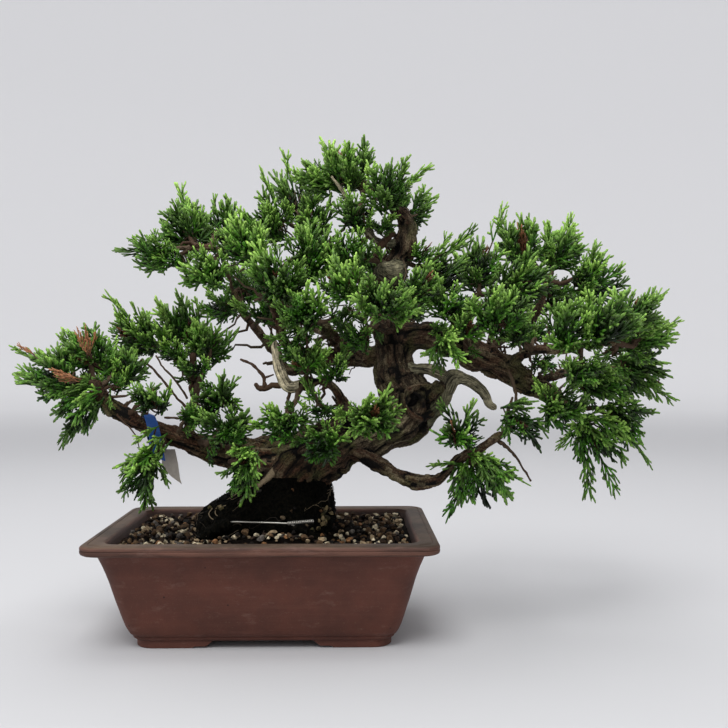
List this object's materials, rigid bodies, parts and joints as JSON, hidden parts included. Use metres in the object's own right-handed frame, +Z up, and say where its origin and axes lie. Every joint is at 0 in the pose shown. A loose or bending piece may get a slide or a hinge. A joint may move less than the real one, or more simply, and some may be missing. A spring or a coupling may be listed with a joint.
{
  "type": "chinese juniper bonsai in a pot",
  "caption": "Bent juniper bonsai with spreading sprays of scale foliage and bare deadwood, on a dark mound in a rectangular footed stoneware pot filled with pumice.",
  "frame": {"origin": "middle of the whole model's box, at the level of the pot's feet", "axes": "+X along the pot's long side, towards the tree's longer side; +Y to the back of the pot; +Z up"},
  "size_m": [0.3222, 0.1614, 0.2448],
  "materials": {
    "stoneware": "matte",
    "pumice": "matte",
    "muck": "matte",
    "bark": "matte",
    "foliage": "matte",
    "wire": "satin",
    "screen": "matte",
    "band": "matte",
    "tail": "matte"
  },
  "bodies": {
    "root": {"pot": "stoneware", "soil": "pumice", "mound": "muck", "tree": "bark", "tie_wire": "wire", "screen_left": "screen", "screen_right": "screen", "tag_band": "band", "tag_tail": "tail", "spray_low_left_tip": "foliage", "spray_low_left_crest": "foliage", "spray_low_left_under": "foliage", "spray_left_shelf_end": "foliage", "spray_left_shelf": "foliage", "spray_upper_left_end": "foliage", "spray_upper_left_crest": "foliage", "spray_upper_left_inner": "foliage", "spray_upper_left_under": "foliage", "spray_crown_left_end": "foliage", "spray_crown_left": "foliage", "spray_crown_left_under": "foliage", "spray_crown_tip": "foliage", "spray_crown_right": "foliage", "spray_crown_middle": "foliage", "spray_middle_left": "foliage", "spray_middle_upper": "foliage", "spray_middle_front": "foliage", "spray_middle_right": "foliage", "spray_middle_low": "foliage", "spray_middle_inner": "foliage", "spray_front_clump": "foliage", "spray_front_right": "foliage", "spray_low_left_inner": "foliage", "spray_low_left_tuft": "foliage", "spray_low_left_drop": "foliage", "spray_middle_drop": "foliage", "spray_mound_left": "foliage", "spray_mound_right": "foliage", "spray_trunk_front": "foliage", "spray_arch_tuft": "foliage", "spray_hanging_tuft": "foliage", "spray_right_crest_inner": "foliage", "spray_right_crest_middle": "foliage", "spray_right_top": "foliage", "spray_right_top_under": "foliage", "spray_right_upper_end": "foliage", "spray_right_end": "foliage", "spray_right_end_under": "foliage", "spray_right_middle": "foliage", "spray_right_front": "foliage", "spray_right_low": "foliage", "spray_right_low_inner": "foliage", "spray_right_drop": "foliage", "spray_right_inner": "foliage", "spray_right_under": "foliage", "spray_low_right": "foliage", "spray_low_right_end": "foliage", "spray_back_middle": "foliage", "spray_back_left": "foliage", "spray_back_right": "foliage"}
  },
  "joints": []
}
